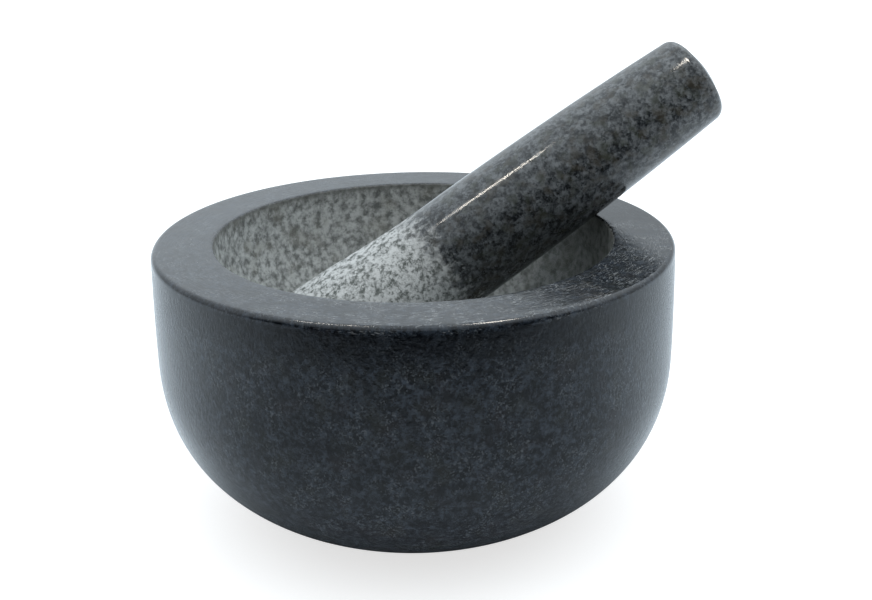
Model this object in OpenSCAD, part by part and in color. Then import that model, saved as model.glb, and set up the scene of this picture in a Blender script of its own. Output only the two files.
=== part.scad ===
// Mortar and pestle: a bowl turned from one stone, and a loose stone pestle that
// leans in it. Millimetres. The origin is the centre of the bowl's flat base, +Z is
// up, and the pestle's grip leans towards +X.

/* [Mortar] */
// Height of the mortar from its base to its rim
mortar_h = 98; // [85:1:120]
// Radius over the outside of the rim
rim_r = 90.5; // [86:0.5:110]
// How far the belly stands out past the rim
belly_bulge = 0.7; // [0:0.1:4]
// Height of the widest part of the wall above the base
belly_z = 60; // [45:1:70]
// Radius of the flat disc that the mortar stands on
foot_r = 47; // [35:1:65]
// Squareness of the outside below the belly, where 2 is an ellipse
wall_curve = 2.3; // [2:0.05:3]
// Rounding of the rim's outer edge
rim_edge_r = 2.2; // [0.5:0.1:4]

/* [Hollow] */
// Radius of the mouth, inside the rim
mouth_r = 69.3; // [60:0.1:74]
// Depth of the hollow below the rim
hollow_d = 68; // [50:1:72]
// Squareness of the hollow, where 2 is an ellipse
hollow_curve = 2.3; // [2:0.05:3]
// Rounding of the mouth's edge
mouth_edge_r = 1; // [0.3:0.1:3]

/* [Pestle] */
// Length of the pestle, end to end
pestle_l = 182.4; // [145:0.1:200]
// Radius of the grip where it meets the rounded top end
grip_r = 16.7; // [13:0.1:19]
// Radius of the waist, just above the grinding head
waist_r = 20.2; // [19:0.1:22]
// Distance from the top end to the waist
waist_l = 117; // [90:1:120]
// Radius of the grinding head
head_r = 23.1; // [22:0.1:28]
// Height of the grinding head's rounded end
head_end_h = 14; // [8:1:20]
// Height of the shallow dome on the top end
cap_h = 2.7; // [1:0.1:5]
// Rounding between that dome and the grip
cap_edge_r = 4; // [1:0.1:6]

/* [Pose in the mortar] */
// Slope of the resting pestle above the horizontal, in degrees
lean = 33.6; // [25:0.1:50]
// Direction of the grip, turned from +X towards +Y, in degrees
turn = 10; // [-15:1:15]
// Where the pestle's axis passes through the rim's plane, towards +X
rest_x = 31.5; // [0:0.1:40]
// Where the pestle's axis passes through the rim's plane, towards +Y
rest_y = 15.6; // [-25:0.1:25]
// Length of the pestle's axis above the rim's plane
rest_l = 90.8; // [70:0.1:110]

/* [Hidden] */
$fn = 180;
belly_r = rim_r + belly_bulge;
// Depth below the belly at which the wall's curve would close on the axis
wall_drop = belly_z / superellipse(foot_r / belly_r, wall_curve);
// Height at which the wall meets the rim's outer rounding
wall_top_z = mortar_h - rim_edge_r;
shaft_start = cap_h + cap_edge_r;
head_start = pestle_l - head_end_h;
// Radius and ball radius of the top end's dome
dome_r = grip_r - cap_edge_r;
dome_ball_r = (dome_r * dome_r + cap_h * cap_h) / (2 * cap_h);
wall_steps = 16;
lip_steps = 6;
hollow_steps = 36;
edge_steps = 6;
dome_steps = 5;
shaft_steps = 18;
flare_steps = 10;
head_steps = 10;
MORTAR_COLOUR = [0.23, 0.26, 0.29];
PESTLE_COLOUR = [0.29, 0.30, 0.29];

// Half-width, as a share, of a superellipse at share x of its height
function superellipse(x, power) = pow(1 - pow(x, power), 1 / power);

// Points along an arc, from angle a0 to angle a1
function arc(centre, r, a0, a1, steps) =
    [for (i = [0 : steps]) centre + r * [cos(a0 + (a1 - a0) * i / steps), sin(a0 + (a1 - a0) * i / steps)]];

// Smooth rise from 0 to 1
function ease(k) = k * k * (3 - 2 * k);

// Radius of the outside of the mortar at height z
function wall_radius(z) =
    z < belly_z
        ? belly_r * superellipse((belly_z - z) / wall_drop, wall_curve)
        : belly_r - belly_bulge * pow((z - belly_z) / (wall_top_z - belly_z), 2);

// Radius of the pestle at distance t below the top end's apex, along the shaft and the flare
function shaft_radius(t) =
    t < waist_l
        ? waist_r - (waist_r - grip_r) * pow(1 - (t - shaft_start) / (waist_l - shaft_start), 2)
        : waist_r + (head_r - waist_r) * ease((t - waist_l) / (head_start - waist_l));

function hollow_point(a) = [
    mouth_r * pow(cos(a), 2 / hollow_curve),
    mortar_h - mouth_edge_r - (hollow_d - mouth_edge_r) * pow(sin(a), 2 / hollow_curve)
];

// Half section of the mortar: the base, up the outside, over the rim and down the hollow
function mortar_section() = concat(
    [[0, 0]],
    [for (i = [0 : wall_steps - 1]) let (z = belly_z * i / wall_steps) [wall_radius(z), z]],
    [for (i = [0 : lip_steps - 1])
        let (z = belly_z + (wall_top_z - belly_z) * i / lip_steps) [wall_radius(z), z]],
    arc([rim_r - rim_edge_r, wall_top_z], rim_edge_r, 0, 90, edge_steps),
    arc([mouth_r + mouth_edge_r, mortar_h - mouth_edge_r], mouth_edge_r, 90, 180, edge_steps),
    [for (i = [1 : hollow_steps]) hollow_point(90 * i / hollow_steps)]
);

// Half section of the pestle, from the apex of its top end at t = 0 down to the head, with z = -t
function pestle_section() = concat(
    [for (i = [0 : dome_steps])
        let (x = dome_r * i / dome_steps)
        [x, sqrt(dome_ball_r * dome_ball_r - x * x) - dome_ball_r]],
    [for (i = [1 : edge_steps - 1])
        let (a = 90 - 90 * i / edge_steps)
        [dome_r + cap_edge_r * cos(a), cap_edge_r * sin(a) - shaft_start]],
    [for (i = [0 : shaft_steps - 1])
        let (t = shaft_start + (waist_l - shaft_start) * i / shaft_steps) [shaft_radius(t), -t]],
    [for (i = [0 : flare_steps - 1])
        let (t = waist_l + (head_start - waist_l) * i / flare_steps) [shaft_radius(t), -t]],
    [for (i = [0 : head_steps])
        let (a = 90 * i / head_steps) [head_r * cos(a), -head_start - head_end_h * sin(a)]]
);

// The bowl: one solid of stone with a flat rim, a rounded hollow and a flat base
module mortar() {
    color(MORTAR_COLOUR)
        rotate_extrude()
            polygon(mortar_section());
}

// The pestle: one solid of stone, leaning on the mouth's edge with its head low in the hollow
module pestle() {
    color(PESTLE_COLOUR)
        translate([rest_x, rest_y, mortar_h])
            rotate([0, 90 - lean, turn])
                translate([0, 0, rest_l])
                    rotate_extrude()
                        polygon(pestle_section());
}

mortar();
pestle();
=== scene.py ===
import itertools
import math

import bpy
import numpy as np
from mathutils import Matrix


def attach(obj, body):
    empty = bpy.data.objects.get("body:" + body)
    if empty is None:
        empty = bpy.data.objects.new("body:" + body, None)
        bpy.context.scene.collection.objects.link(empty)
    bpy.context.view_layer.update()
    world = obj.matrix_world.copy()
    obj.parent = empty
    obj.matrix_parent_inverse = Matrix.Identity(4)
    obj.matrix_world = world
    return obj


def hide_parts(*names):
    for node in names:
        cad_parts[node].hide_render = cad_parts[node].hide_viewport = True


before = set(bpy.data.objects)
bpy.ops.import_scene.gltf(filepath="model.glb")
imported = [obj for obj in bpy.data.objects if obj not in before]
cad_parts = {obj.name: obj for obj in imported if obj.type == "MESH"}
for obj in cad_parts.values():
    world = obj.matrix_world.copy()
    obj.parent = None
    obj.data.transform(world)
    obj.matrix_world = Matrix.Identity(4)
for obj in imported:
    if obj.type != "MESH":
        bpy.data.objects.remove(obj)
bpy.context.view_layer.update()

# Everything is in metres, in the frame of the CAD model: the origin is the centre of the
# mortar's base, +Z is up, and the pestle's grip leans towards +X.

# ---------------------------------------------------------------- sizes, as in the CAD model
MORTAR_H = 0.098
RIM_R = 0.0905
BELLY_BULGE = 0.0007
BELLY_Z = 0.060
FOOT_R = 0.047
WALL_CURVE = 2.3
RIM_EDGE_R = 0.0022
MOUTH_R = 0.0693
HOLLOW_D = 0.068
HOLLOW_CURVE = 2.3
MOUTH_EDGE_R = 0.001
PESTLE_L = 0.1824
GRIP_R = 0.0167
WAIST_R = 0.0202
WAIST_L = 0.117
HEAD_R = 0.0231
HEAD_END_H = 0.014
CAP_H = 0.0027
CAP_EDGE_R = 0.004
LEAN = math.radians(33.6)
TURN = math.radians(10.0)
REST_X = 0.0315
REST_Y = 0.0156
REST_L = 0.0908

BELLY_R = RIM_R + BELLY_BULGE
WALL_TOP_Z = MORTAR_H - RIM_EDGE_R
RIM_INNER_R = MOUTH_R + MOUTH_EDGE_R
HEAD_END_T = PESTLE_L - HEAD_END_H
SHAFT_START_T = CAP_H + CAP_EDGE_R

# Places along the mortar's surface, counted inward from the inner edge of the flat rim:
# the rim's outer edge, and the line where the rounded lip meets the wall
LIP_TOP = RIM_INNER_R - (RIM_R - RIM_EDGE_R)
LIP_FOOT = LIP_TOP - math.pi / 2 * RIM_EDGE_R

# ---------------------------------------------------------------- how the meshes are made
# Every visual surface lies this far inside the solid that it stands for
SKIN = 0.00002
MORTAR_SEGMENTS = 512
PESTLE_SEGMENTS = 240
# Even steps along each curve of the outlines
WALL_STEPS = 62
HOLLOW_STEPS = 92
HEAD_END_STEPS = 36
SHAFT_STEPS = 250
# Points on a curve before they are spread out evenly
FINE_POINTS = 3000
# Points on each flat or arc of the outlines
BASE_POINTS = 7
LIP_POINTS = 12
RIM_POINTS = 14
MOUTH_POINTS = 7
CAP_EDGE_POINTS = 16
DOME_POINTS = 20

# ---------------------------------------------------------------- camera and studio values
CAMERA_PLACE = (0.0, -0.4040, 0.2209)
CAMERA_PITCH = math.radians(20.12)
CAMERA_YAW = math.radians(1.07)
CAMERA_ROLL = math.radians(-0.80)
LENS_MM = 49.54
SENSOR_MM = 36.0
FLOOR_HALF = 8.0

# ---------------------------------------------------------------- colours, linear RGB
HONED_DARK = (0.0009, 0.0016, 0.0028)
HONED_LIGHT = (0.031, 0.040, 0.053)
HONED_GREEN = (0.013, 0.014, 0.009)
HONED_BROWN = (0.013, 0.010, 0.011)
HONED_FLECK = (0.075, 0.085, 0.095)
# Painted shade for the dark band just under the lip
LIP_SHADE_PAINT = (0.0008, 0.0012, 0.0020)
SCRATCH = (0.25, 0.26, 0.265)
# Painted glints on the rim
GLINT_PAINT = (0.30, 0.31, 0.31)
# Lighter chips on the lip, which at the front also paint a broken highlight line
CHIP_AND_GLINT = (0.15, 0.155, 0.16)
HOLLOW_DARK = (0.124, 0.132, 0.128)
HOLLOW_LIGHT = (0.50, 0.52, 0.515)
HOLLOW_TAN = (0.19, 0.185, 0.15)
# Smeared marks in the hollow, and painted shadow below the leaning pestle
GRIME_AND_SHADOW = (0.060, 0.062, 0.052)
GRIP_DARK = (0.0065, 0.0085, 0.0100)
GRIP_LIGHT = (0.120, 0.130, 0.138)
GRIP_BROWN = (0.040, 0.034, 0.024)
GRIP_GREEN = (0.036, 0.040, 0.028)
HEAD_DARK = (0.090, 0.101, 0.094)
HEAD_LIGHT = (0.545, 0.56, 0.56)
HEAD_FADED = (0.07, 0.072, 0.068)
FLOOR_PAPER = (0.65, 0.64, 0.63)
FLOOR_LIGHT = (1.0, 0.995, 0.99)
GLOW_LIGHT = (0.875, 1.0, 1.10)
TENT_LIGHT = (0.90, 0.99, 1.06)
LAMP_LIGHT = (1.0, 0.93, 0.83)


# ---------------------------------------------------------------- camera
def add_camera():
    """The viewpoint: 0.40 m in front of the mortar and 0.22 m up, looking a little down."""
    data = bpy.data.cameras.new("camera")
    data.lens = LENS_MM
    data.sensor_width = SENSOR_MM
    data.clip_start = 0.01
    data.clip_end = 50.0
    camera = bpy.data.objects.new("camera", data)
    bpy.context.scene.collection.objects.link(camera)
    turn = Matrix.Rotation(-CAMERA_YAW, 4, "Z")
    turn = turn @ Matrix.Rotation(math.pi / 2 - CAMERA_PITCH, 4, "X")
    turn = turn @ Matrix.Rotation(CAMERA_ROLL, 4, "Z")
    camera.matrix_world = Matrix.Translation(CAMERA_PLACE) @ turn
    bpy.context.scene.camera = camera


# ---------------------------------------------------------------- noise for the meshes
# Large odd numbers that scatter neighbouring cells, and the 32 bits that are kept
CELL_MIX = np.array([73856093, 19349663, 83492791])
SEED_MIX = 40503021
SHIFT_MIX = ((15, 2246822519), (13, 3266489917))
LAST_SHIFT = 16
WORD = 0xFFFFFFFF


def ease(share):
    """Smooth rise from 0 to 1."""
    share = np.clip(share, 0.0, 1.0)
    return share * share * (3 - 2 * share)


def rise(value, low, high):
    """Smooth rise from 0 at low to 1 at high."""
    return ease((value - low) / (high - low))


def lattice(cell, seed):
    """A fixed number from 0 to 1 for each whole-number cell, an (n, 3) array."""
    x, y, z = (cell * CELL_MIX).T
    mixed = ((x ^ y ^ z ^ (seed * SEED_MIX)) & WORD).astype(np.uint64)
    for shift, factor in SHIFT_MIX:
        mixed = ((mixed ^ (mixed >> np.uint64(shift))) * np.uint64(factor)) & np.uint64(WORD)
    mixed = mixed ^ (mixed >> np.uint64(LAST_SHIFT))
    return mixed.astype(np.float64) / WORD


def noise(points, size, seed):
    """Smooth noise from -1 to 1 at points, an (n, 3) array, with bumps of that size."""
    scaled = points / size
    cell = np.floor(scaled).astype(np.int64)
    inside = ease(scaled - cell)
    total = np.zeros(len(points))
    for corner in itertools.product((0, 1), repeat=3):
        weight = np.prod(np.where(corner, inside, 1 - inside), axis=1)
        total += weight * lattice(cell + corner, seed)
    return total * 2 - 1


def rough_noise(points, size, seed, octaves=3):
    """Several sizes of noise added together, about -1 to 1."""
    total = np.zeros(len(points))
    weight = 0.0
    for octave in range(octaves):
        share = 0.6 ** octave
        total += share * noise(points, size / 2 ** octave, seed + octave)
        weight += share
    return total / weight


def dents(points, size, depth, seed, octaves=3):
    """Soft hollows of that size, sunk by depth on average."""
    return depth * (1 + rough_noise(points, size, seed, octaves))


def pits(points, size, depth, seed, cut):
    """Separate pits where the noise is above cut, in proportion to depth."""
    return depth * np.clip(rough_noise(points, size, seed) - cut, 0, 1)


# ---------------------------------------------------------------- turned meshes
def turned_mesh(name, profile, segments, shape):
    """A closed mesh turned round +Z. profile lists radius and height from one pole to the
    other, with the outside on its right. shape(points, normals, row) returns the moved points;
    row is the ring that each point is on, and a pole counts with the ring beside it."""
    rings = profile[1:-1]
    rows = len(rings)
    slope = np.gradient(profile, axis=0)[1:-1]
    out = np.stack([slope[:, 1], -slope[:, 0]], axis=1)
    out /= np.linalg.norm(out, axis=1)[:, None]
    angle = np.arange(segments) * 2 * math.pi / segments

    def turned(section):
        return np.stack([
            np.outer(section[:, 0], np.cos(angle)).ravel(),
            np.outer(section[:, 0], np.sin(angle)).ravel(),
            np.repeat(section[:, 1], segments)], axis=1)

    poles = [[0.0, 0.0, profile[0][1]], [0.0, 0.0, profile[-1][1]]]
    pole_normals = [[0.0, 0.0, -1.0], [0.0, 0.0, 1.0]]
    points = np.concatenate([turned(rings), poles])
    normals = np.concatenate([turned(out), pole_normals])
    row = np.concatenate([np.repeat(np.arange(rows), segments), [0, rows - 1]])
    points = shape(points, normals, row)

    index = np.arange(rows * segments).reshape(rows, segments)
    right = np.roll(index, -1, axis=1)
    quads = np.stack([index[:-1], right[:-1], right[1:], index[1:]], axis=-1).reshape(-1, 4)
    first_pole, last_pole = rows * segments, rows * segments + 1
    first_fan = np.stack([right[0], index[0], np.full(segments, first_pole)], axis=-1)
    last_fan = np.stack([index[-1], right[-1], np.full(segments, last_pole)], axis=-1)
    faces = quads.tolist() + first_fan.tolist() + last_fan.tolist()
    mesh = bpy.data.meshes.new(name)
    mesh.from_pydata(points.tolist(), [], faces)
    mesh.update()
    mesh.validate()
    mesh.shade_smooth()
    obj = bpy.data.objects.new(name, mesh)
    bpy.context.scene.collection.objects.link(obj)
    return obj


def store(obj, name, values):
    """Saves one number for each point, for the material to read."""
    layer = obj.data.attributes.new(name, "FLOAT", "POINT")
    layer.data.foreach_set("value", np.asarray(values, dtype=np.float32))


def lengths(line):
    """The length along a line from its start to each of its points."""
    steps = np.linalg.norm(np.diff(line, axis=0), axis=1)
    return np.concatenate([[0.0], np.cumsum(steps)])


def spread(radius, height, steps):
    """steps + 1 points spaced evenly by length along the curve through many fine points."""
    line = np.stack([radius, height], axis=1)
    length = lengths(line)
    at = np.linspace(0.0, length[-1], steps + 1)
    return np.stack([np.interp(at, length, line[:, axis]) for axis in (0, 1)], axis=1)


def arc(centre_r, centre_z, size, start, end, count):
    """Points on an arc of radius size in the half section, from one angle to another."""
    angle = np.linspace(start, end, count)
    return np.stack([centre_r + size * np.cos(angle), centre_z + size * np.sin(angle)], axis=1)


# ---------------------------------------------------------------- mortar
def superellipse(share, power):
    """Height of a superellipse of size 1 at that share of its width."""
    return (1 - np.clip(share, 0.0, 1.0) ** power) ** (1 / power)


def wall_radius(z):
    """Radius of the outside of the mortar at height z."""
    drop = BELLY_Z / superellipse(FOOT_R / BELLY_R, WALL_CURVE)
    below = BELLY_R * superellipse(np.clip((BELLY_Z - z) / drop, 0, 1), WALL_CURVE)
    above = BELLY_R - BELLY_BULGE * ((z - BELLY_Z) / (WALL_TOP_Z - BELLY_Z)) ** 2
    return np.where(z < BELLY_Z, below, above)


def mortar_profile():
    """Half section of the mortar, from the centre of the base, up the outside, over the rim and
    down to the bottom of the hollow. Returns the points and the row at which each zone starts."""
    foot_chamfer = 0.0008
    base_start = 0.006
    zones = {}
    line = [np.array([[0.0, 0.0]])]

    def add(zone, points):
        zones[zone] = sum(len(p) for p in line) - 1
        line.append(points)

    base = np.linspace(base_start, FOOT_R - foot_chamfer, BASE_POINTS)
    add("base", np.stack([base, np.zeros(BASE_POINTS)], axis=1))
    z = np.linspace(foot_chamfer, WALL_TOP_Z, FINE_POINTS)
    add("wall", spread(wall_radius(z), z, WALL_STEPS))
    add("lip", arc(RIM_R - RIM_EDGE_R, WALL_TOP_Z, RIM_EDGE_R, 0, math.pi / 2, LIP_POINTS)[1:])
    rim = np.linspace(RIM_R - RIM_EDGE_R, RIM_INNER_R, RIM_POINTS)[1:-1]
    add("rim", np.stack([rim, np.full(len(rim), MORTAR_H)], axis=1))
    edge_z = MORTAR_H - MOUTH_EDGE_R
    add("mouth", arc(RIM_INNER_R, edge_z, MOUTH_EDGE_R, math.pi / 2, math.pi, MOUTH_POINTS))
    angle = np.linspace(0, math.pi / 2, FINE_POINTS)
    radius = MOUTH_R * np.cos(angle) ** (2 / HOLLOW_CURVE)
    radius[-1] = 0.0
    sunk = (HOLLOW_D - MOUTH_EDGE_R) * np.sin(angle) ** (2 / HOLLOW_CURVE)
    add("hollow", spread(radius, edge_z - sunk, HOLLOW_STEPS)[1:])
    return np.concatenate(line), zones


def build_mortar():
    """The mortar, with each point's distance inward from the rim stored as "inward"."""
    profile, zones = mortar_profile()
    length = lengths(profile)
    inward_of = length - length[zones["mouth"] + 1]
    marks = {}

    def shape(points, normals, row):
        inward = inward_of[row + 1]
        inward[-2:] = inward_of[[0, -1]]
        marks["inward"] = inward
        base = row < zones["wall"]
        base[-1] = False
        outside = (row >= zones["wall"]) & (row < zones["rim"])
        rim = (row >= zones["rim"]) & (row < zones["hollow"])
        sink = np.full(len(points), SKIN)
        # The ground hollow: shallow dents, and small pits where grains have broken out
        ground = dents(points, size=0.011, depth=0.00012, seed=11)
        ground += pits(points, size=0.0021, depth=0.00028, seed=23, cut=0.12)
        sink += rise(inward, 0.0006, 0.0046) * ground
        # The honed outside and rim: very slight waves left by hand finishing
        sink += outside * dents(points, size=0.022, depth=0.00004, seed=37, octaves=2)
        sink += rim * dents(points, size=0.016, depth=0.00002, seed=41, octaves=2)
        # The mouth's edge: worn unevenly, with small nicks
        near_mouth = np.exp(-((inward - 0.0008) / 0.0011) ** 2)
        sink += near_mouth * pits(points, size=0.0042, depth=0.00014, seed=83, cut=-0.15)
        sink = np.where(base, 0.0, sink)
        return points - normals * sink[:, None]

    obj = turned_mesh("mortar_stone_body", profile, MORTAR_SEGMENTS, shape)
    store(obj, "inward", marks["inward"])
    return obj


# ---------------------------------------------------------------- pestle
def shaft_radius(t):
    """Radius of the pestle at distance t below the top end's apex, along the shaft and flare."""
    from_waist = 1 - (t - SHAFT_START_T) / (WAIST_L - SHAFT_START_T)
    shaft = WAIST_R - (WAIST_R - GRIP_R) * from_waist ** 2
    flare = WAIST_R + (HEAD_R - WAIST_R) * rise(t, WAIST_L, HEAD_END_T)
    return np.where(t < WAIST_L, shaft, flare)


def pestle_profile():
    """Half section of the pestle, from the bottom of the grinding head up to the top end, with
    the top end's apex at height 0."""
    angle = np.linspace(math.pi / 2, 0, FINE_POINTS)
    end_z = -HEAD_END_T - HEAD_END_H * np.sin(angle)
    end = spread(HEAD_R * np.cos(angle), end_z, HEAD_END_STEPS)
    end[0, 0] = 0.0
    t = np.linspace(HEAD_END_T, SHAFT_START_T, FINE_POINTS)
    side = spread(shaft_radius(t), -t, SHAFT_STEPS)
    dome_r = GRIP_R - CAP_EDGE_R
    edge = arc(dome_r, -SHAFT_START_T, CAP_EDGE_R, 0, math.pi / 2, CAP_EDGE_POINTS)
    ball_r = (dome_r ** 2 + CAP_H ** 2) / (2 * CAP_H)
    x = np.linspace(dome_r, 0, DOME_POINTS)
    dome = np.stack([x, np.sqrt(ball_r ** 2 - x ** 2) - ball_r], axis=1)
    return np.concatenate([end, side[1:], edge[1:], dome[1:]])


def pestle_place():
    """Where the pestle rests: turned from standing on its axis to leaning in the mortar."""
    lean = Matrix.Rotation(TURN, 4, "Z") @ Matrix.Rotation(math.pi / 2 - LEAN, 4, "Y")
    on_rim = Matrix.Translation((REST_X, REST_Y, MORTAR_H))
    return on_rim @ lean @ Matrix.Translation((0, 0, REST_L))


def build_pestle():
    """The pestle, with each point's distance from its top end stored as "along"."""
    marks = {}

    def shape(points, normals, row):
        along = -points[:, 2]
        marks["along"] = along
        ragged = along + 0.004 * rough_noise(points, 0.012, 53)
        sink = np.full(len(points), SKIN)
        # The polished grip: very slight waves
        sink += dents(points, size=0.020, depth=0.00003, seed=61, octaves=2)
        # The ground head: shallow dents and small pits
        ground = dents(points, size=0.009, depth=0.00010, seed=67)
        ground += pits(points, size=0.0019, depth=0.00030, seed=71, cut=0.1)
        sink += rise(ragged, 0.112, 0.122) * ground
        moved = points - normals * sink[:, None]
        place = np.array(pestle_place())
        return moved @ place[:3, :3].T + place[:3, 3]

    obj = turned_mesh("pestle_stone_body", pestle_profile(), PESTLE_SEGMENTS, shape)
    store(obj, "along", marks["along"])
    return obj


# ---------------------------------------------------------------- material helpers
class Graph:
    """A node tree, built step by step. Most methods return an output socket."""

    def __init__(self, tree):
        self.tree = tree

    def put(self, socket, value):
        """Links a socket, or sets a plain value on it."""
        if isinstance(value, bpy.types.NodeSocket):
            self.tree.links.new(value, socket)
        elif isinstance(value, (tuple, list)) and len(value) == 3 and socket.type == "RGBA":
            socket.default_value = (*value, 1.0)
        else:
            socket.default_value = value

    def node(self, kind, inputs=(), **settings):
        made = self.tree.nodes.new(kind)
        for key, value in settings.items():
            setattr(made, key, value)
        for key, value in dict(inputs).items():
            self.put(made.inputs[key], value)
        return made

    def math(self, operation, a, b=0.0, c=0.0):
        return self.node("ShaderNodeMath", {0: a, 1: b, 2: c}, operation=operation).outputs[0]

    def times(self, first, *others):
        """The product of two or more numbers."""
        product = first
        for other in others:
            product = self.math("MULTIPLY", product, other)
        return product

    def vector_math(self, operation, a, b=(0, 0, 0), scale=1.0):
        made = self.node("ShaderNodeVectorMath", {0: a, 1: b, 3: scale}, operation=operation)
        return made.outputs[1] if operation in ("LENGTH", "DOT_PRODUCT") else made.outputs[0]

    def place(self):
        """Position on the object, in metres."""
        return self.node("ShaderNodeTexCoord").outputs["Object"]

    def axes(self, at):
        """The three coordinates of a position, as sockets 0, 1 and 2."""
        return self.node("ShaderNodeSeparateXYZ", {0: at}).outputs

    def towards(self, at, x, y, radius):
        """How far a place lies in the direction (x, y), as a share of radius."""
        return self.vector_math("DOT_PRODUCT", at, (x / radius, y / radius, 0.0))

    def mark(self, name):
        """A number stored on the mesh."""
        return self.node("ShaderNodeAttribute", attribute_name=name).outputs["Fac"]

    def noise(self, at, size, detail=2.0, roughness=0.5, colour=False):
        """Noise with features of that size in metres, about 0.25 to 0.75."""
        inputs = {"Vector": at, "Scale": 1.0 / size, "Detail": detail, "Roughness": roughness}
        return self.node("ShaderNodeTexNoise", inputs).outputs["Color" if colour else "Fac"]

    def cells(self, at, size):
        """A random colour for each grain of that size."""
        return self.node("ShaderNodeTexVoronoi", {"Vector": at, "Scale": 1.0 / size}).outputs["Color"]

    def channel(self, colour, which):
        """The red, green or blue of a colour, which is 0, 1 or 2."""
        return self.node("ShaderNodeSeparateColor", {0: colour}).outputs[which]

    def span(self, value, low, high, to_low=0.0, to_high=1.0, smooth=True):
        """Maps low..high to to_low..to_high, and holds it outside."""
        kind = "SMOOTHSTEP" if smooth else "LINEAR"
        inputs = {0: value, 1: low, 2: high, 3: to_low, 4: to_high}
        return self.node("ShaderNodeMapRange", inputs, interpolation_type=kind).outputs[0]

    def mix(self, share, a, b):
        """Mixes two colours."""
        return self.node("ShaderNodeMix", {0: share, 6: a, 7: b}, data_type="RGBA").outputs[2]

    def blend(self, share, a, b):
        """Mixes two plain numbers."""
        return self.node("ShaderNodeMix", {0: share, 2: a, 3: b}, data_type="FLOAT").outputs[0]

    def bump(self, height, distance, normal=None, strength=1.0):
        """Relief from a height of 0 to 1, over the relief that normal already holds."""
        inputs = {"Height": height, "Distance": distance, "Strength": strength}
        if normal is not None:
            inputs["Normal"] = normal
        return self.node("ShaderNodeBump", inputs).outputs[0]


def new_material(name):
    """A new material, its graph and its shader."""
    material = bpy.data.materials.new(name)
    material.use_nodes = True
    tree = material.node_tree
    return material, Graph(tree), tree.nodes["Principled BSDF"]


def warped(g, at, size, amount):
    """Position pushed about by noise, so that grains get ragged outlines."""
    push = g.vector_math("SUBTRACT", g.noise(at, size, 2.0, colour=True), (0.5, 0.5, 0.5))
    return g.vector_math("ADD", at, g.vector_math("SCALE", push, scale=amount))


def grains(g, at):
    """How light each grain is, about 0 to 1, with grains of several sizes."""
    ragged = warped(g, at, 0.0012, 0.0016)
    large = g.channel(g.cells(ragged, 0.0021), 0)
    small = g.channel(g.cells(ragged, 0.0009), 1)
    cloud = g.noise(at, 0.0024, 7.0, 0.70)
    mixed = g.math("MULTIPLY_ADD", large, 0.14, g.times(small, 0.20))
    return g.math("MULTIPLY_ADD", cloud, 1.35, g.math("SUBTRACT", mixed, 0.345))


def streaks(g, at, around, along, out, detail=2.0):
    """Noise drawn out round the axis, up it or away from it, by those lengths in metres."""
    xyz = g.axes(at)
    flat = g.node("ShaderNodeCombineXYZ", {0: xyz[0], 1: xyz[1]}).outputs[0]
    radius = g.vector_math("LENGTH", flat)
    turn = g.vector_math("SCALE", g.vector_math("NORMALIZE", flat), scale=RIM_R / around)
    depth = g.math("MULTIPLY_ADD", xyz[2], 1.0 / along, g.times(radius, 1.0 / out))
    lift = g.node("ShaderNodeCombineXYZ", {2: depth}).outputs[0]
    return g.noise(g.vector_math("ADD", turn, lift), 1.0, detail)


# ---------------------------------------------------------------- materials
def honed_colour(g, at, light, rim, inward):
    """The mortar's outside: blue-black, with faint green and brown clouds and small light
    flecks, and painted shade just under the lip. rim is 1 on the rim; on its front right, where
    the pestle's dark reflection lies, it gets light scratch lines and painted glints."""
    fleck = g.channel(g.cells(warped(g, at, 0.0005, 0.0008), 0.0005), 2)
    patch = g.noise(at, 0.010, 4.0, 0.6)
    tint = g.noise(at, 0.008, 3.0, colour=True)
    colour = g.mix(g.span(light, 0.30, 0.92), HONED_DARK, HONED_LIGHT)
    colour = g.mix(g.span(g.channel(tint, 0), 0.50, 0.72, 0.0, 0.35), colour, HONED_GREEN)
    colour = g.mix(g.span(g.channel(tint, 1), 0.52, 0.72, 0.0, 0.30), colour, HONED_BROWN)
    flecks = g.times(g.span(fleck, 0.72, 0.98), g.span(patch, 0.42, 0.62, 0.15, 1.0), 0.60)
    colour = g.mix(flecks, colour, HONED_FLECK)

    # Painted shade: a dark band on the wall just under the lip, in place of the dark reflection that
    # shows there
    uneven = g.math("MULTIPLY_ADD", g.noise(at, 0.010, 3.0), 0.010, inward)
    lip_shade_fade = g.span(uneven, LIP_FOOT - 0.0085, LIP_FOOT - 0.0007)
    on_wall = g.span(inward, LIP_FOOT + 0.0003, LIP_FOOT - 0.0010)
    colour = g.mix(g.times(lip_shade_fade, on_wall, 0.60), colour, LIP_SHADE_PAINT)

    # Light scratch lines and painted glints on the rim's front right, where the pestle's dark
    # reflection lies
    facing = g.towards(at, 0.64, -0.77, RIM_R)
    scratch_and_glint = g.times(rim, g.span(facing, 0.0, 0.85, 0.35, 1.0))
    scratch_and_glint = g.times(scratch_and_glint, g.span(g.noise(at, 0.0060, 3.0), 0.38, 0.60, 0.20, 1.0))
    lines = streaks(g, warped(g, at, 0.0070, 0.0008), 0.0060, 0.0004, 0.00055, 1.5)
    off_line = g.math("ABSOLUTE", g.math("SUBTRACT", lines, 0.5))
    scratches = g.times(scratch_and_glint, g.span(off_line, 0.006, 0.032, 1.0, 0.0), 0.72)
    colour = g.mix(scratches, colour, SCRATCH)
    glint_cell = g.channel(g.cells(warped(g, at, 0.0004, 0.0006), 0.00042), 1)
    painted_glints = g.times(scratch_and_glint, g.span(glint_cell, 0.965, 0.99), 0.6)
    return g.mix(painted_glints, colour, GLINT_PAINT)


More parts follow.
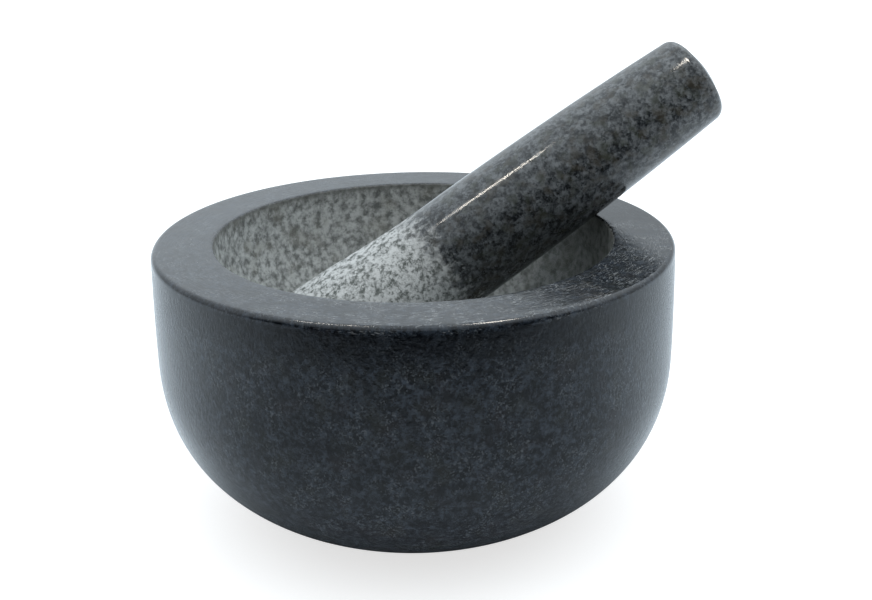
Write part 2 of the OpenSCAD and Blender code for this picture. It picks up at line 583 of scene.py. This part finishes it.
def hollow_colour(g, at, light, inward):
    """The hollow: mid grey with soft dark grains, smeared darker just under the mouth's edge,
    and darker on the side below the leaning pestle, where painted shadow stands for its shade."""
    blot = g.noise(at, 0.0030, 3.0, 0.50)
    tint = g.noise(at, 0.010, 2.0, colour=True)
    tone = g.math("MULTIPLY_ADD", blot, 0.85, g.times(light, 0.60))
    colour = g.mix(g.span(tone, 0.46, 0.96), HOLLOW_DARK, HOLLOW_LIGHT)
    colour = g.mix(g.span(g.channel(tint, 2), 0.50, 0.70, 0.0, 0.35), colour, HOLLOW_TAN)
    marks = streaks(g, warped(g, at, 0.004, 0.003), 0.0012, 0.0045, 0.02, 3.0)
    smeared = g.times(g.span(inward, 0.0022, 0.0080, 0.45, 0.0), g.span(marks, 0.36, 0.66))
    under_edge = g.span(inward, 0.0008, 0.0040, 0.70, 0.0)
    # Painted shadow: the side of the hollow below the leaning pestle is painted darker, where the
    # pestle's shade falls
    painted_pestle_shadow = g.span(g.towards(at, 0.97, -0.25, MOUTH_R), 0.00, 0.90, 0.0, 0.62)
    grime_and_shadow = g.math("MAXIMUM", g.math("MAXIMUM", smeared, under_edge), painted_pestle_shadow)
    return g.mix(grime_and_shadow, colour, GRIME_AND_SHADOW)


def lip_chip_glints(g, at, inward):
    """Where small lighter chips show in a narrow band on the lip, mostly at the front, where they
    also paint a broken highlight line.
    """
    lower = g.span(inward, LIP_FOOT - 0.0004, LIP_FOOT)
    upper = g.span(inward, LIP_FOOT + 0.0012, LIP_FOOT + 0.0006)
    dashes = streaks(g, warped(g, at, 0.0020, 0.0005), 0.0014, 0.0003, 0.0004, 2.0)
    front = g.span(g.towards(at, 0.25, -0.97, RIM_R), 0.80, 0.96, 0.10, 1.0)
    patches = g.span(g.noise(at, 0.0065, 3.0), 0.42, 0.60)
    return g.times(lower, upper, g.span(dashes, 0.56, 0.64), front, patches)


def mortar_relief(g, at, light, inward, zone, rim):
    """Relief of the mortar: grain, fine tooth, turning lines round the rim, and upright marks
    on the wall. zone is 1 in the ground hollow."""
    wall = g.span(inward, LIP_FOOT - 0.0020, LIP_FOOT, 1.0, 0.0)
    relief = g.bump(light, 0.00006, strength=0.25)
    tooth = g.blend(zone, g.blend(wall, 0.07, 0.30), 1.0)
    relief = g.bump(g.noise(at, 0.0005, 3.0, 0.6), 0.00018, relief, tooth)
    lines = streaks(g, warped(g, at, 0.0050, 0.0010), 0.0050, 0.0004, 0.0007, 4.0)
    lining = g.times(g.math("SUBTRACT", 1.0, zone), g.span(rim, 0.0, 1.0, 0.3, 1.0), 0.8)
    relief = g.bump(lines, 0.00010, relief, lining)
    upright = streaks(g, warped(g, at, 0.0016, 0.0018), 0.0008, 0.0014, 0.01, 4.0)
    return g.bump(upright, 0.00018, relief, g.times(wall, 0.75))


def mortar_material():
    """Near-black granite: honed outside and on the rim, ground to a lighter grey in the hollow."""
    material, g, shader = new_material("mortar_granite")
    at = g.place()
    light = grains(g, at)
    inward = g.mark("inward")
    ragged = g.math("MULTIPLY_ADD", g.noise(at, 0.0016, 4.0, 0.6), 0.0020, inward)
    zone = g.span(ragged, 0.0012, 0.0026)
    rim = g.span(inward, LIP_TOP - 0.0020, LIP_TOP)
    # Lighter chips on the lip, which at the front also paint a broken highlight line
    chip_and_glint = lip_chip_glints(g, at, inward)
    honed = g.mix(g.times(chip_and_glint, 0.70), honed_colour(g, at, light, rim, inward), CHIP_AND_GLINT)
    polish = g.blend(chip_and_glint, g.span(light, 0.2, 0.9, 0.08, 0.16), 0.5)
    g.put(shader.inputs["Base Color"], g.mix(zone, honed, hollow_colour(g, at, light, inward)))
    g.put(shader.inputs["Roughness"], g.blend(zone, polish, 0.78))
    g.put(shader.inputs["Normal"], mortar_relief(g, at, light, inward, zone, rim))
    g.put(shader.inputs["IOR"], 1.5)
    return material


def pestle_material():
    """The same granite, polished on the grip and ground to light grey on the head."""
    material, g, shader = new_material("pestle_granite")
    at = g.place()
    light = grains(g, at)
    tint = g.noise(at, 0.0045, 3.0, colour=True)
    along = g.mark("along")
    ragged = g.math("MULTIPLY_ADD", g.noise(at, 0.0030, 5.0, 0.65), 0.034, along)
    zone = g.span(ragged, 0.1280, 0.1430)

    grip = g.mix(g.span(light, 0.27, 0.80), GRIP_DARK, GRIP_LIGHT)
    grip = g.mix(g.span(g.channel(tint, 0), 0.48, 0.70, 0.0, 0.55), grip, GRIP_BROWN)
    grip = g.mix(g.span(g.channel(tint, 1), 0.50, 0.70, 0.0, 0.50), grip, GRIP_GREEN)
    head = g.mix(g.span(light, 0.28, 0.63), HEAD_DARK, HEAD_LIGHT)
    head = g.mix(g.span(along, 0.113, 0.137, 0.90, 1.0), HEAD_FADED, head)
    g.put(shader.inputs["Base Color"], g.mix(zone, grip, head))

    polish = g.span(light, 0.2, 0.9, 0.05, 0.15)
    g.put(shader.inputs["Roughness"], g.blend(zone, polish, 0.75))
    relief = g.bump(light, 0.00004, strength=0.10)
    tooth = g.span(zone, 0.0, 1.0, 0.09, 1.0)
    relief = g.bump(g.noise(at, 0.0006, 3.0, 0.6), 0.00018, relief, tooth)
    g.put(shader.inputs["Normal"], relief)
    g.put(shader.inputs["IOR"], 1.5)
    return material


# ---------------------------------------------------------------- studio
def flat_plane(name):
    """A large square on the table's level that belongs to the studio, not to the object."""
    half = FLOOR_HALF
    mesh = bpy.data.meshes.new(name)
    corners = [(-half, -half, 0), (half, -half, 0), (half, half, 0), (-half, half, 0)]
    mesh.from_pydata(corners, [], [(0, 1, 2, 3)])
    plane = bpy.data.objects.new(name, mesh)
    bpy.context.scene.collection.objects.link(plane)
    return plane


def add_floor():
    """A plain pale floor that gives a little light of its own, like a light table."""
    floor = flat_plane("floor")
    floor.visible_glossy = False
    material, g, shader = new_material("floor_paper")
    g.put(shader.inputs["Base Color"], FLOOR_PAPER)
    g.put(shader.inputs["Roughness"], 0.9)
    g.put(shader.inputs["Specular IOR Level"], 0.1)
    g.put(shader.inputs["Emission Color"], FLOOR_LIGHT)
    g.put(shader.inputs["Emission Strength"], 0.70)
    floor.data.materials.append(material)


def add_floor_glow():
    """What polished stone sees of the table: bright at the sides and behind, dimmer in front,
    shaded under the belly, and dark past the table's front edge. Only reflections see it."""
    glow = flat_plane("floor_glow")
    glow.visible_camera = False
    glow.visible_diffuse = False
    glow.visible_transmission = False
    glow.visible_shadow = False
    material = bpy.data.materials.new("floor_glow")
    material.use_nodes = True
    tree = material.node_tree
    tree.nodes.clear()
    g = Graph(tree)
    at = g.place()
    xyz = g.axes(at)
    radius = g.vector_math("LENGTH", at)
    behind = g.math("DIVIDE", xyz[1], radius)
    across = g.math("DIVIDE", xyz[0], radius)
    bright = g.span(behind, -0.85, 0.16, 0.45, 1.06)
    sides = g.span(across, -0.8, 0.8, 1.08, 0.98, smooth=False)
    belly = g.span(radius, 0.055, 0.119, 0.06, 1.0)
    ahead = g.span(behind, -0.75, -0.50, 1.0, 0.0)
    past_edge = g.times(g.span(xyz[1], -0.345, -0.285, 1.0, 0.0), ahead)
    lit = g.times(bright, sides, belly, g.math("SUBTRACT", 1.0, past_edge))
    shine = g.node("ShaderNodeEmission", {"Color": GLOW_LIGHT, "Strength": lit})
    out = g.node("ShaderNodeOutputMaterial")
    tree.links.new(shine.outputs[0], out.inputs["Surface"])
    glow.data.materials.append(material)


def add_surroundings():
    """Soft cool light from a white tent: brighter on the left, brightest in the roof, and open
    in front, where the dark room shows. The camera sees plain white from every side."""
    world = bpy.data.worlds.new("studio")
    world.use_nodes = True
    bpy.context.scene.world = world
    g = Graph(world.node_tree)
    background = world.node_tree.nodes["Background"]
    xyz = g.axes(g.node("ShaderNodeTexCoord").outputs["Generated"])
    left_to_right = g.span(xyz[0], -0.30, 0.25, 1.22, 0.75, smooth=False)
    far_left = g.span(xyz[0], -0.80, -0.30, 0.70, 1.0)
    low_down = g.span(xyz[2], 0.22, 0.32, 0.88, 1.0)
    sides = g.times(left_to_right, far_left, low_down)
    roof = g.span(xyz[0], -0.70, -0.30, 1.20, 1.60)
    tent = g.blend(g.span(xyz[2], 0.28, 0.70), sides, roof)
    opening = g.span(xyz[1], -0.45, -0.15, 1.0, 0.0)
    room = g.span(xyz[2], 0.30, 0.75, 0.03, 0.80)
    lit = g.blend(opening, tent, room)
    seen = g.node("ShaderNodeLightPath").outputs["Is Camera Ray"]
    g.put(background.inputs["Strength"], g.blend(seen, lit, 1.3))
    g.put(background.inputs["Color"], TENT_LIGHT)


def add_lamp(name, place, size, power):
    """A small warm strip in the tent's roof, shining straight down."""
    data = bpy.data.lights.new(name, "AREA")
    data.shape = "RECTANGLE"
    data.size, data.size_y = size
    data.energy = power
    data.color = LAMP_LIGHT
    lamp = bpy.data.objects.new(name, data)
    lamp.location = place
    lamp.visible_camera = False
    bpy.context.scene.collection.objects.link(lamp)


def add_lamps():
    """Two strips, for the line of light along the pestle's grip and the spot near its top end."""
    add_lamp("lamp_left", place=(-0.096, -0.020, 0.340), size=(0.090, 0.004), power=0.090)
    add_lamp("lamp_right", place=(0.088, -0.044, 0.340), size=(0.042, 0.038), power=0.17)


# ---------------------------------------------------------------- scene
bpy.context.scene.view_settings.view_transform = "Standard"
add_camera()
add_floor()
add_floor_glow()
add_surroundings()
add_lamps()

mortar = build_mortar()
mortar.data.materials.append(mortar_material())
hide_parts("mortar")
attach(mortar, "mortar")

pestle = build_pestle()
pestle.data.materials.append(pestle_material())
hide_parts("pestle")
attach(pestle, "pestle")
